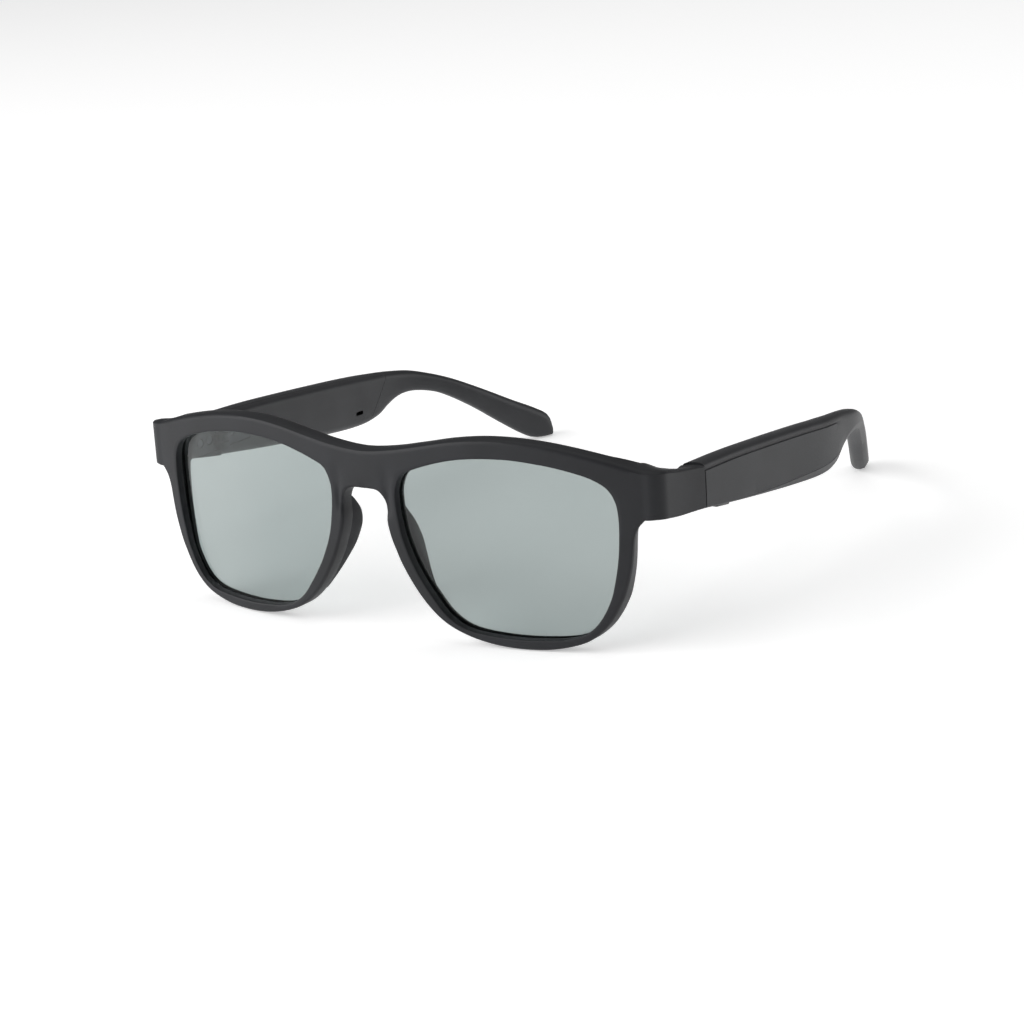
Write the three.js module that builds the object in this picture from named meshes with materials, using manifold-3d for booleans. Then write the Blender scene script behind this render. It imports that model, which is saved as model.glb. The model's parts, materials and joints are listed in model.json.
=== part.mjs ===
// Smart glasses: a wrapped front with two tinted lenses and two folding temples.
// Each temple is a clamshell that holds its own battery, board, speaker and microphone.
// Units are millimetres. +X is the wearer's left, +Y runs back to the ears, +Z is up.
// Pieces are drawn in the wearing frame, whose zero is the front of the bridge at the datum height
// of the lenses, and the whole is then tilted and lifted to stand on its rims and temple tips.

import * as THREE from 'three';
import { mergeVertices } from 'three/addons/utils/BufferGeometryUtils.js';
import Module from 'manifold-3d';

const wasm = await Module();
wasm.setup();

// ---------------------------------------------------------------- driving dimensions

const GAP = 0.3;                    // clearance between separate pieces

const LENS = {
  width: 52,                        // boxed width of one lens opening
  height: 40.7,                     // boxed height of one lens opening
  topZ: 17.1,                       // top of the opening above the datum
  thickness: 1.4,
  recess: 1.9,                      // lens face behind the front of the rim
  bite: 0.6,                        // how far the lens enters its groove
};

const FRONT = {
  bridge: 18,                       // gap between the two openings
  wrapRadius: 206,                  // bend of the front seen from above
  depth: 4.4,                       // thickness, front to back
  rimBottom: 2.3,
  rimNasal: 3.0,
  rimTemporal: 2.85,
  browHeight: 4.4,                  // material above the openings at the crown of the brow
  bridgeTopZ: 17.3,
  archTopZ: 8.1,                    // underside of the bridge, over the nose
};

const END = {
  beyondLens: 9.2,                  // from the lens opening out to the outside of the temple
  topZ: 15.5,                       // at the front corner
  bottomZ: 5.3,
  cornerRadius: 3.6,
  seamY: 30.8,                      // where the end piece stops and the temple starts
};

const TEMPLE = {
  seamTopZ: 12.0,
  seamBottomZ: 2.1,
  bodyLength: 57.2,                 // from the end piece back to where the ear hook starts
  bendTopZ: 7.8,
  bendBottomZ: -4.9,
  wall: 1.2,
  coverThickness: 1.8,              // inner cover, measured at its rim
  coverWall: 1.0,                   // inner cover over the battery and speaker
};

const HOOK = {
  reach: 61.2,                      // from the bend back to the tip
  inward: 19.1,                     // how far the tip stands in from the temple body
  tipZ: -21.3,                      // lowest point of the tip
  thickness: 4.7,
  wireRadius: 0.6,
};

const HINGE = {
  axisInset: 0.6,                   // axis in from the inner face of the temple
  barrelRadius: 1.7,
  boreRadius: 0.7,
  pinRadius: 0.6,
  headRadius: 1.05,
  height: 5.9,                      // three knuckles together
  eyeGap: 0.25,                     // play between one knuckle and the next
  plate: 1.5,                       // leaf thickness
  leafLength: 9.0,
  screwHeadRadius: 0.95,
  screwRadius: 0.55,
  screwReach: 3.7,                  // screw length under the leaf's face
};

const PAD = {
  height: 5.2,                      // how far it stands back from the rim at its crest
  thickness: 1.9,
  flare: 0.2,                       // lean away from the nose at its free edge
  crest: 0.65,                      // where along its length it stands furthest back
  firstPoint: 48,                   // where it starts, counted along the 60 points of the opening
  points: 10,                       // how many of those points it spans
};

const BATTERY = { length: 20.5, height: 7.2, thickness: 2.3 };
const BOARD = { length: 31, height: 6.8, thickness: 0.6, fromSeam: 15.2 };
const RADIO = { length: 5.2, height: 4.0, thickness: 1.0 };
const MICROPHONE = { length: 3.2, height: 1.9, thickness: 1.0, port: 0.45 };
const SPEAKER = { length: 9.6, height: 6.2, thickness: 2.4, beforeBend: 4.4 };
const GRILLE = { length: 4.4, height: 2.2, thickness: 0.3 };
const SLOT = { length: 3.0, height: 1.0, beforeBend: 1.0, aboveBottom: 3.6 };
const BUTTON = { length: 5.8, width: 2.2, fromSeam: 10.2, stands: 0.6, travel: 0.35, flange: 0.7 };
const SWITCH = { length: 3.2, width: 2.0, height: 1.1 };
const CONTACT = { radius: 0.8, spacing: 2.8, fromSeam: 18.2 };
const MAGNET = { radius: 1.2, spacing: 8.8, thickness: 1.1 };

const ROUND = 16;                   // sides of a small cylinder

// ---------------------------------------------------------------- sizes that follow from them

const temporalX = FRONT.bridge / 2 + LENS.width;
const lensBottomZ = LENS.topZ - LENS.height;
const outerX = temporalX + END.beyondLens;
const bendY = END.seamY + TEMPLE.bodyLength;
const seamFrontY = END.seamY + GAP;

// A temple is as thick as what it holds: inner cover, battery, board and outer wall.
const templeThickness =
  TEMPLE.coverWall + BATTERY.thickness + BOARD.thickness + TEMPLE.wall + 3 * GAP;
const innerX = outerX - templeThickness;
const splitX = innerX + TEMPLE.coverThickness;
const hingeX = innerX - HINGE.axisInset;
const hingeY = END.seamY + GAP / 2;
const hingeZ = (TEMPLE.seamTopZ + TEMPLE.seamBottomZ) / 2;
const eyeHeight = (HINGE.height - 2 * HINGE.eyeGap) / 3;
const leafLowZ = hingeZ - HINGE.height / 2;
const leafHighZ = hingeZ + HINGE.height / 2;
const pocketRadius = HINGE.barrelRadius + GAP + 0.05;
const midX = outerX - templeThickness / 2;
const blockEndY = hingeY + 2 + HINGE.leafLength + 3;
const buttonY = END.seamY + BUTTON.fromSeam;
const boardStartY = END.seamY + BOARD.fromSeam;
const contactMidY = END.seamY + CONTACT.fromSeam;
const speakerY = bendY - SPEAKER.beforeBend;
const slotY = bendY - SLOT.beforeBend;

// ---------------------------------------------------------------- finishes

const finish = (color, roughness, metalness, opacity = 1) => new THREE.MeshStandardMaterial({
  color, roughness, metalness, opacity, transparent: opacity < 1,
});

const FINISH = {
  frame: finish(0x343537, 0.55, 0),
  temple: finish(0x3c3d3f, 0.55, 0),
  lens: finish(0x8d9a99, 0.05, 0, 0.55),
  pad: finish(0x2b2c2e, 0.8, 0),
  steel: finish(0xb4b4b2, 0.35, 1),
  gold: finish(0xc9a45a, 0.3, 1),
  magnet: finish(0x9a9a9c, 0.3, 1),
  battery: finish(0xb9bcc0, 0.4, 0.6),
  board: finish(0x1f4a33, 0.6, 0),
  chip: finish(0x1b1b1d, 0.5, 0),
  speaker: finish(0x26272a, 0.5, 0),
};

// ---------------------------------------------------------------- solids

function solidOf(geometry) {
  const bare = geometry.clone();
  for (const name of Object.keys(bare.attributes)) {
    if (name !== 'position') bare.deleteAttribute(name);
  }
  const merged = mergeVertices(bare, 1e-4);
  return new wasm.Manifold(new wasm.Mesh({
    numProp: 3,
    vertProperties: new Float32Array(merged.attributes.position.array),
    triVerts: new Uint32Array(merged.index.array),
  }));
}

function geometryOf(solid) {
  const mesh = solid.getMesh();
  const geometry = new THREE.BufferGeometry();
  geometry.setAttribute('position', new THREE.BufferAttribute(mesh.vertProperties, 3));
  geometry.setIndex(new THREE.BufferAttribute(mesh.triVerts, 1));
  geometry.computeVertexNormals();
  return geometry;
}

function mirrored(geometry) {
  const other = geometry.clone().applyMatrix4(new THREE.Matrix4().makeScale(-1, 1, 1));
  const index = other.index.array;
  for (let i = 0; i < index.length; i += 3) {
    [index[i], index[i + 1]] = [index[i + 1], index[i]];
  }
  return other;
}

const cut = (solid, ...tools) => tools.reduce((rest, tool) => rest.subtract(tool), solid);
const join = (solid, ...others) => others.reduce((whole, other) => whole.add(other), solid);

const asShape = (points) => new THREE.Shape(points.map(([a, b]) => new THREE.Vector2(a, b)));

const extrude = (points, length) =>
  new THREE.ExtrudeGeometry(asShape(points), { depth: length, bevelEnabled: false });

// A prism along Z from an outline in (x, y).
function prismZ(points, lowZ, highZ) {
  return solidOf(extrude(points, highZ - lowZ).translate(0, 0, lowZ));
}

// A prism along Y from an outline in (x, z).
function prismY(points, lowY, highY) {
  return solidOf(extrude(points, highY - lowY).rotateX(Math.PI / 2).translate(0, highY, 0));
}

// A prism along X from an outline in (y, z).
function prismX(points, lowX, highX) {
  const turn = new THREE.Matrix4().makeBasis(
    new THREE.Vector3(0, 1, 0), new THREE.Vector3(0, 0, 1), new THREE.Vector3(1, 0, 0));
  return solidOf(extrude(points, highX - lowX).applyMatrix4(turn).translate(lowX, 0, 0));
}

const rectangle = (a0, a1, b0, b1) => [[a0, b0], [a1, b0], [a1, b1], [a0, b1]];

function block(x0, x1, y0, y1, z0, z1) {
  return prismZ(rectangle(x0, x1, y0, y1), z0, z1);
}

function rodZ(x, y, radius, z0, z1) {
  const rod = new THREE.CylinderGeometry(radius, radius, z1 - z0, ROUND);
  return solidOf(rod.rotateX(Math.PI / 2).translate(x, y, (z0 + z1) / 2));
}

function rodX(y, z, radius, x0, x1) {
  const rod = new THREE.CylinderGeometry(radius, radius, x1 - x0, ROUND);
  return solidOf(rod.rotateZ(Math.PI / 2).translate((x0 + x1) / 2, y, z));
}

// A closed skin over rings that all have the same number of points.
function loft(rings) {
  const count = rings[0].length;
  const index = [];
  for (let ring = 0; ring + 1 < rings.length; ring += 1) {
    for (let i = 0; i < count; i += 1) {
      const a = ring * count + i;
      const b = ring * count + (i + 1) % count;
      index.push(a, b, b + count, a, b + count, a + count);
    }
  }
  const last = (rings.length - 1) * count;
  for (let i = 1; i + 1 < count; i += 1) {
    index.push(0, i + 1, i);
    index.push(last, last + i, last + i + 1);
  }
  const geometry = new THREE.BufferGeometry();
  geometry.setAttribute('position', new THREE.Float32BufferAttribute(rings.flat(2), 3));
  geometry.setIndex(index);
  return geometry;
}

// A smooth line through a few points, as pairs.
function smooth(points, steps, closed = false) {
  const curve = new THREE.CatmullRomCurve3(
    points.map(([a, b]) => new THREE.Vector3(a, b, 0)), closed, 'centripetal');
  const all = curve.getPoints(steps).map((p) => [p.x, p.y]);
  if (closed) all.pop();
  return all;
}

// Height of a line of pairs at a given first coordinate.
function heightOn(line, at) {
  const next = Math.max(1, line.findIndex(([a]) => a >= at));
  const [a0, b0] = line[next - 1];
  const [a1, b1] = line[next];
  return b0 + (b1 - b0) * (at - a0) / (a1 - a0);
}

// ---------------------------------------------------------------- the front

// The lens opening of the wearer's left side: shares of its boxed width and height.
const OPENING = [
  [0.000, 0.794], [0.031, 0.875], [0.094, 0.921], [0.212, 0.961], [0.375, 0.995], [0.554, 0.999],
  [0.727, 0.968], [0.892, 0.909], [0.969, 0.830], [0.998, 0.678], [0.987, 0.474], [0.948, 0.251],
  [0.881, 0.098], [0.769, 0.017], [0.558, 0.000], [0.327, 0.025], [0.204, 0.111], [0.108, 0.278],
  [0.031, 0.484], [-0.002, 0.690],
].map(([across, up]) => [
  FRONT.bridge / 2 + across * LENS.width,
  lensBottomZ + up * LENS.height,
]);

const opening = smooth(OPENING, 60, true);

// The outline moved outwards by a distance that may depend on the direction it faces.
function grown(outline, distance) {
  return outline.map(([x, z], i) => {
    const before = outline.at(i - 1);
    const after = outline[(i + 1) % outline.length];
    const along = new THREE.Vector2(after[0] - before[0], after[1] - before[1]).normalize();
    const out = new THREE.Vector2(-along.y, along.x);
    const by = typeof distance === 'function' ? distance(out) : distance;
    return [x + out.x * by, z + out.y * by];
  });
}

// A prism from in front of the bridge to well behind the end pieces.
const throughFront = (outline) => prismY(outline, -5, 40);

const rimWidth = (out) => THREE.MathUtils.lerp(
  FRONT.rimBottom, out.x < 0 ? FRONT.rimNasal : FRONT.rimTemporal, Math.abs(out.x));

const mirrorX = (points) => points.map(([x, other]) => [-x, other]);

// Front face of the wrapped front, as a distance back from the bridge.
const wrapY = (x) => x * x / (2 * FRONT.wrapRadius);

// A curved slab that follows the wrap between two depths behind the front face.
function wrapSlab(nearY, farY) {
  const halfWidth = outerX + 5;
  const steps = 26;
  const line = Array.from({ length: steps + 1 }, (_, i) => -halfWidth + 2 * halfWidth * i / steps);
  const near = line.map((x) => [x, wrapY(x) + nearY]);
  const far = line.map((x) => [x, wrapY(x) + farY]).reverse();
  return prismZ([...near, ...far], -60, 60);
}

// Brow, bridge and the roots of the end pieces, seen from the front.
function browOutline() {
  const halfBridge = FRONT.bridge / 2;
  const cornerX = outerX - END.cornerRadius;
  const browZ = LENS.topZ + FRONT.browHeight;
  const crest = [
    [halfBridge + 0.12 * LENS.width, FRONT.bridgeTopZ + 0.46 * (browZ - FRONT.bridgeTopZ)],
    [halfBridge + 0.47 * LENS.width, browZ],
    [halfBridge + 0.80 * LENS.width, browZ - 0.38 * FRONT.browHeight],
    [cornerX, END.topZ],
  ];
  const top = smooth([...mirrorX(crest).reverse(), [0, FRONT.bridgeTopZ], ...crest], 32);
  const under = smooth([
    [cornerX, END.bottomZ - 0.8],
    [temporalX + FRONT.rimTemporal + 0.5, END.bottomZ - 3.6],
    [temporalX + FRONT.rimTemporal - 0.4, END.bottomZ - 8.0],
  ], 5);
  const archSide = halfBridge - FRONT.rimNasal;
  const archHalf = [
    [archSide + 1.0, FRONT.archTopZ - 11.4],
    [archSide + 0.3, FRONT.archTopZ - 8.9],
    [archSide, FRONT.archTopZ - 6.6],
    [archSide + 0.1, FRONT.archTopZ - 4],
    [archSide - 1.2, FRONT.archTopZ - 0.9],
    [archSide - 3.6, FRONT.archTopZ],
  ];
  const arch = smooth([...archHalf, ...mirrorX(archHalf).reverse()], 26);
  return [...top, ...under, ...arch, ...mirrorX(under).reverse()];
}

// The end piece of the wearer's left side, which wraps back to the temple.
function endPiece() {
  const { cornerRadius } = END;
  const rootX = temporalX - 3;
  const corner = new THREE.Vector2(outerX - cornerRadius, wrapY(outerX - cornerRadius) + cornerRadius);
  const arc = Array.from({ length: 7 }, (_, i) => {
    const turn = -Math.PI / 2 + (Math.PI / 2) * i / 6;
    return [corner.x + cornerRadius * Math.cos(turn), corner.y + cornerRadius * Math.sin(turn)];
  });
  const inside = smooth([
    [innerX, END.seamY - 7],
    [innerX - 1.0, END.seamY - 11.5],
    [innerX - 3.4, END.seamY - 15],
    [rootX, wrapY(rootX) + FRONT.depth - 0.4],
  ], 8);
  const plan = [[rootX, wrapY(rootX) + 0.8], ...arc, [outerX, END.seamY], [innerX, END.seamY], ...inside];
  const top = smooth([
    [0, END.topZ],
    [13, END.topZ - 0.3],
    [20, END.topZ - 2.0],
    [END.seamY, TEMPLE.seamTopZ],
  ], 9);
  const bottom = smooth([
    [END.seamY, TEMPLE.seamBottomZ],
    [20, TEMPLE.seamBottomZ + 1.0],
    [12, END.bottomZ - 0.8],
    [0, END.bottomZ - 0.8],
  ], 7);
  return prismZ(plan, -5, 30).intersect(prismX([...top, ...bottom], 0, outerX + 1));
}

// Room for one hinge leaf, sunk into a face that looks inwards.
function leafPocket(y0, y1) {
  return block(innerX - 3, innerX + HINGE.plate + GAP, y0, y1, leafLowZ - GAP, leafHighZ + GAP);
}

const knucklePocket = () =>
  rodZ(hingeX, hingeY, pocketRadius, leafLowZ - GAP, leafHighZ + GAP);

const frontLeafY = [END.seamY - 1.9 - 7.2, END.seamY - 1.9];
const templeLeafY = [hingeY + 2.05, hingeY + 2.05 + HINGE.leafLength];

const screwPlaces = ([y0, y1]) => [y0 + 0.24 * (y1 - y0), y0 + 0.72 * (y1 - y0)];

const screwHoles = (leaf) => screwPlaces(leaf).map((y) =>
  rodX(y, hingeZ, HINGE.screwRadius + GAP, innerX, innerX + HINGE.screwReach + GAP + 0.3));

function bothSides(solid) {
  return [solid, solidOf(mirrored(geometryOf(solid)))];
}

function frontFrame() {
  const rim = grown(opening, rimWidth);
  const outline = join(throughFront(browOutline()), ...bothSides(throughFront(rim)));
  let frame = join(outline.intersect(wrapSlab(0, FRONT.depth)), ...bothSides(endPiece()));
  const groove = throughFront(grown(opening, LENS.bite + GAP))
    .intersect(wrapSlab(LENS.recess - GAP, LENS.recess + LENS.thickness + GAP));
  const hole = throughFront(opening);
  const pocket = leafPocket(frontLeafY[0] - GAP, END.seamY + 1);
  frame = cut(frame, ...bothSides(hole), ...bothSides(groove));
  frame = cut(frame, ...bothSides(pocket), ...bothSides(knucklePocket()));
  return cut(frame, ...screwHoles(frontLeafY).flatMap(bothSides));
}

function lens() {
  return throughFront(grown(opening, LENS.bite))
    .intersect(wrapSlab(LENS.recess, LENS.recess + LENS.thickness));
}

// A soft pad behind the nasal side of the rim: rings along the rim, each a section that
// leans away from the nose as it goes back.
function nosePad() {
  const rim = grown(opening, rimWidth);
  const rings = Array.from({ length: PAD.points }, (_, i) => {
    const at = (PAD.firstPoint + i) % opening.length;
    const inner = new THREE.Vector2(...opening[at]);
    const outer = new THREE.Vector2(...rim[at]);
    const out = outer.clone().sub(inner).normalize();
    const share = i / (PAD.points - 1);
    const wave = Math.sin(Math.PI * share ** (Math.log(0.5) / Math.log(PAD.crest)));
    const tall = PAD.height * (0.2 + 0.8 * wave);
    const base = wrapY(outer.x) + FRONT.depth + GAP;
    const place = (inset, back) => {
      const p = outer.clone().addScaledVector(out, -inset);
      return [p.x, base + back, p.y];
    };
    const wall = PAD.thickness;
    return [
      place(0.1, 0),
      place(0.1 + PAD.flare * 0.35, tall * 0.55),
      place(0.3 + PAD.flare, tall),
      place(PAD.flare + wall * 0.7, tall * 0.92),
      place(PAD.flare * 0.5 + wall, tall * 0.5),
      place(wall, 0),
    ];
  });
  const pad = solidOf(loft(rings));
  return pad.volume() > 0 ? pad : solidOf(loft(rings.reverse()));
}

// ---------------------------------------------------------------- the hinge

function hingeEye(low) {
  return rodZ(hingeX, hingeY, HINGE.barrelRadius, low, low + eyeHeight);
}

function leafPlate([y0, y1]) {
  const plate = block(innerX, innerX + HINGE.plate, y0, y1, leafLowZ, leafHighZ);
  const sinks = screwPlaces([y0, y1]).flatMap((y) => [
    rodX(y, hingeZ, HINGE.screwRadius + GAP, innerX - 1, innerX + HINGE.plate + 1),
    rodX(y, hingeZ, HINGE.screwHeadRadius + GAP, innerX - 1, innerX + 0.9),
  ]);
  return cut(plate, ...sinks);
}

const pinBore = () => rodZ(hingeX, hingeY, HINGE.boreRadius, leafLowZ - 1, leafHighZ + 1);

function frontLeaf() {
  const lows = [leafLowZ, leafHighZ - eyeHeight];
  const eyes = lows.map(hingeEye);
  const necks = lows.map((low) => block(
    innerX, innerX + HINGE.plate, frontLeafY[1] - 0.5, hingeY, low, low + eyeHeight));
  const sink = rodZ(hingeX, hingeY, HINGE.headRadius + 0.2, leafHighZ - 0.65, leafHighZ + 1);
  return cut(join(leafPlate(frontLeafY), ...eyes, ...necks), pinBore(), sink);
}

function templeLeaf() {
  const low = hingeZ - eyeHeight / 2;
  const neck = block(
    innerX, innerX + HINGE.plate, hingeY, templeLeafY[0] + 0.5, low, low + eyeHeight);
  return cut(join(leafPlate(templeLeafY), hingeEye(low), neck), pinBore());
}

function hingePin() {
  const head = rodZ(hingeX, hingeY, HINGE.headRadius, leafHighZ - 0.45, leafHighZ);
  return join(rodZ(hingeX, hingeY, HINGE.pinRadius, leafLowZ + 0.1, leafHighZ - 0.2), head);
}

function leafScrew(y) {
  const head = rodX(y, hingeZ, HINGE.screwHeadRadius, innerX + 0.1, innerX + 0.6);
  return join(rodX(y, hingeZ, HINGE.screwRadius, innerX + 0.3, innerX + HINGE.screwReach), head);
}

// ---------------------------------------------------------------- the temple

const bodyLength = bendY - seamFrontY;
const bodyY = (share) => seamFrontY + share * bodyLength;
const bodyTop = smooth([
  [seamFrontY, TEMPLE.seamTopZ],
  [bodyY(0.5), (TEMPLE.seamTopZ + TEMPLE.bendTopZ) / 2 + 0.4],
  [bendY, TEMPLE.bendTopZ],
  [bodyY(1.1), TEMPLE.bendTopZ - 0.8],
], 12);
const bodyBottom = smooth([
  [seamFrontY, TEMPLE.seamBottomZ],
  [bodyY(0.5), (TEMPLE.seamBottomZ + TEMPLE.bendBottomZ) / 2 - 0.7],
  [bendY, TEMPLE.bendBottomZ],
  [bodyY(1.1), TEMPLE.bendBottomZ],
], 12);

// Side view of the whole temple: body, arch over the ear, hook and rounded tip.
function templeSide() {
  const behind = (share) => bendY + share * HOOK.reach;
  const drop = HOOK.tipZ - TEMPLE.bendTopZ;
  const down = (share) => TEMPLE.bendTopZ + share * drop;
  const top = smooth([
    [seamFrontY, TEMPLE.seamTopZ],
    [bodyY(0.5), (TEMPLE.seamTopZ + TEMPLE.bendTopZ) / 2 + 0.4],
    [bendY, TEMPLE.bendTopZ],
    [behind(0.20), down(0.048)],
    [behind(0.375), down(0.119)],
    [behind(0.56), down(0.270)],
    [behind(0.85), down(0.603)],
    [behind(0.965), down(0.745)],
    [behind(1.0), down(0.84)],
    [behind(0.995), down(0.95)],
    [behind(0.95), down(1.0)],
    [behind(0.89), down(0.965)],
    [behind(0.79), down(0.81)],
    [behind(0.61), down(0.512)],
    [behind(0.475), down(0.328)],
    [behind(0.385), down(0.257)],
    [behind(0.285), down(0.240)],
    [behind(0.19), down(0.282)],
    [behind(0.125), down(0.362)],
    [behind(0.06), down(0.414)],
    [bendY - 3, TEMPLE.bendBottomZ + 0.1],
    [bodyY(0.5), (TEMPLE.seamBottomZ + TEMPLE.bendBottomZ) / 2 - 0.7],
    [seamFrontY, TEMPLE.seamBottomZ],
  ], 110);
  return top;
}

// Plan of the temple's middle line: straight along the body, then inwards to the tip.
function hookLine() {
  return smooth([
    [midX, seamFrontY],
    [midX, bendY - 12],
    [midX, bendY],
    [midX - 0.065 * HOOK.inward, bendY + 0.19 * HOOK.reach],
    [midX - 0.215 * HOOK.inward, bendY + 0.37 * HOOK.reach],
    [midX - 0.565 * HOOK.inward, bendY + 0.66 * HOOK.reach],
    [midX - HOOK.inward, bendY + HOOK.reach + 1],
  ], 36);
}

const middle = hookLine();

// A plan strip between two distances from the temple's middle line, positive outwards.
function planStrip(from, to) {
  const share = (y) => THREE.MathUtils.smoothstep(y, bendY, bendY + 14);
  const side = (distance) => middle.map(([x, y], i) => {
    const [x0, y0] = middle[Math.max(0, i - 1)];
    const [x1, y1] = middle[Math.min(middle.length - 1, i + 1)];
    const along = new THREE.Vector2(x1 - x0, y1 - y0).normalize();
    const narrow = THREE.MathUtils.lerp(1, HOOK.thickness / templeThickness, share(y));
    return [x + along.y * distance * narrow, y - along.x * distance * narrow];
  });
  const inner = side(from).map(([x, y], i) => (i === 0 ? [x, seamFrontY] : [x, y]));
  const outer = side(to).map(([x, y], i) => (i === 0 ? [x, seamFrontY] : [x, y]));
  return prismZ([...outer, ...inner.reverse()], -60, 40);
}

const half = templeThickness / 2;
const coverTo = -half + TEMPLE.coverThickness;

// Everything in front of the slanted line where the inner cover ends over the ear.
function coverReach(extra) {
  const endTop = bendY + 0.22 * HOOK.reach + extra;
  const endBottom = bendY + 0.05 * HOOK.reach + extra;
  return prismX(
    [[seamFrontY - 5, 25], [endTop, 25], [endTop, TEMPLE.bendTopZ], [endBottom, TEMPLE.bendBottomZ],
      [endBottom, -40], [seamFrontY - 5, -40]], 0, outerX + 5);
}

// Side view of the room inside, one wall in from the outline.
function roomSide(y0, y1, wall) {
  const steps = 8;
  const line = Array.from({ length: steps + 1 }, (_, i) => y0 + (y1 - y0) * i / steps);
  const top = line.map((y) => [y, heightOn(bodyTop, y) - wall]);
  const bottom = line.map((y) => [y, heightOn(bodyBottom, y) + wall]).reverse();
  return [...top, ...bottom];
}

const roomEndY = bendY + 2.5;
const midZ = (y) => (heightOn(bodyTop, y) + heightOn(bodyBottom, y)) / 2;
const slope = Math.atan2(midZ(bendY) - midZ(blockEndY), bendY - blockEndY);
const bottomSlope = Math.atan2(
  heightOn(bodyBottom, buttonY + 4) - heightOn(bodyBottom, buttonY - 4), 8);
const buttonX = splitX + GAP + 0.2 + BUTTON.width / 2;

// A box centred at a place on the temple and laid along its slope.
function laid(thickness, length, height, x, y, z, tilt = slope) {
  return new THREE.BoxGeometry(thickness, length, height).rotateX(tilt).translate(x, y, z);
}

// Boxes for the button are drawn upwards from the underside of the temple.
function atButton(halfLength, halfWidth, low, high) {
  return solidOf(new THREE.BoxGeometry(halfWidth * 2, halfLength * 2, high - low)
    .translate(0, 0, (low + high) / 2)
    .rotateX(bottomSlope)
    .translate(buttonX, buttonY, heightOn(bodyBottom, buttonY)));
}

const wirePath = (end) => {
  const behind = (share) => bendY + share * HOOK.reach;
  const inward = (share) => midX - share * HOOK.inward;
  const down = (share) => TEMPLE.bendTopZ + share * (HOOK.tipZ - TEMPLE.bendTopZ);
  return new THREE.CatmullRomCurve3([
    new THREE.Vector3(midX, bendY + 1.5, down(0.17)),
    new THREE.Vector3(inward(0.065), behind(0.19), down(0.155)),
    new THREE.Vector3(inward(0.195), behind(0.35), down(0.177)),
    new THREE.Vector3(inward(0.41), behind(0.53), down(0.32)),
    new THREE.Vector3(inward(0.61), behind(0.70), down(0.53)),
    new THREE.Vector3(inward(end), behind(end), down(0.54 + 1.05 * (end - 0.70))),
  ]);
};

function wire(radius, end) {
  const section = Array.from({ length: 8 }, (_, i) => {
    const turn = 2 * Math.PI * i / 8;
    return [radius * Math.cos(turn), radius * Math.sin(turn)];
  });
  return solidOf(new THREE.ExtrudeGeometry(asShape(section), {
    steps: 22, bevelEnabled: false, extrudePath: wirePath(end),
  }));
}

const contactY = [contactMidY - CONTACT.spacing / 2, contactMidY + CONTACT.spacing / 2];
const magnetY = [contactMidY - MAGNET.spacing / 2, contactMidY + MAGNET.spacing / 2];
const slotZ = heightOn(bodyBottom, slotY) + SLOT.aboveBottom;
const micY = boardStartY + 2.2;
const boardX = outerX - TEMPLE.wall - GAP - BOARD.thickness / 2;
const onBoardX = boardX - BOARD.thickness / 2 - GAP;
const boardY = boardStartY + BOARD.length / 2;
const batteryY = boardStartY + BOARD.length - BATTERY.length / 2;
const batteryX = innerX + TEMPLE.coverWall + GAP + BATTERY.thickness / 2;
const radioZ = midZ(micY + 1) + 1.4;
const micZ = midZ(micY) - 2.4;

function templeHousing(hasButton) {
  const whole = prismX(templeSide(), 0, outerX + 5).intersect(planStrip(-half, half));
  const coverRoom = planStrip(-half - 4, coverTo + GAP).intersect(coverReach(GAP));
  const room = prismX(
    roomSide(blockEndY, roomEndY, TEMPLE.wall + 0.2), splitX, outerX - TEMPLE.wall);
  const port = rodZ(onBoardX - MICROPHONE.thickness / 2, micY, MICROPHONE.port,
    heightOn(bodyBottom, micY) - 3, heightOn(bodyBottom, micY) + TEMPLE.wall + 1.5);
  let housing = cut(whole, coverRoom, room, port, knucklePocket());
  housing = cut(housing, leafPocket(seamFrontY - 1, templeLeafY[1] + GAP));
  housing = cut(housing, ...screwHoles(templeLeafY), wire(HOOK.wireRadius + GAP, 0.93));
  if (!hasButton) return housing;
  const { length, width, flange } = BUTTON;
  return cut(
    housing,
    atButton(length / 2 + GAP, width / 2 + GAP, -5, 1.5),
    atButton(length / 2 + flange + GAP, width / 2 + GAP, 0.7, 1.9 + BUTTON.travel + SWITCH.height));
}

function innerCover(hasCharging) {
  const whole = prismX(templeSide(), 0, outerX + 5).intersect(planStrip(-half, coverTo));
  let cover = whole.intersect(coverReach(0));
  const recess = prismX(
    roomSide(batteryY - BATTERY.length / 2 - 0.6, roomEndY - 0.5, TEMPLE.wall + 0.4),
    innerX + TEMPLE.coverWall, splitX + 1);
  const slot = prismX(rectangle(
    slotY - SLOT.length / 2, slotY + SLOT.length / 2,
    slotZ - SLOT.height / 2, slotZ + SLOT.height / 2), innerX - 2, splitX + 1);
  cover = cut(cover, recess, slot, knucklePocket());
  cover = cut(cover, leafPocket(seamFrontY - 1, templeLeafY[1] + GAP));
  if (!hasCharging) return cover;
  const holes = contactY.map((y) =>
    rodX(y, midZ(y), CONTACT.radius + GAP, innerX - 1, splitX + 1));
  const seats = magnetY.map((y) =>
    rodX(y, midZ(y), MAGNET.radius + GAP, splitX - MAGNET.thickness - 0.2, splitX + 1));
  return cut(cover, ...holes, ...seats);
}

function battery() {
  return laid(
    BATTERY.thickness, BATTERY.length, BATTERY.height, batteryX, batteryY, midZ(batteryY));
}

function circuitBoard() {
  return laid(BOARD.thickness, BOARD.length, BOARD.height, boardX, boardY, midZ(boardY));
}

function radioModule() {
  const x = onBoardX - RADIO.thickness / 2;
  return laid(RADIO.thickness, RADIO.length, RADIO.height, x, micY + 1, radioZ);
}

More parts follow.
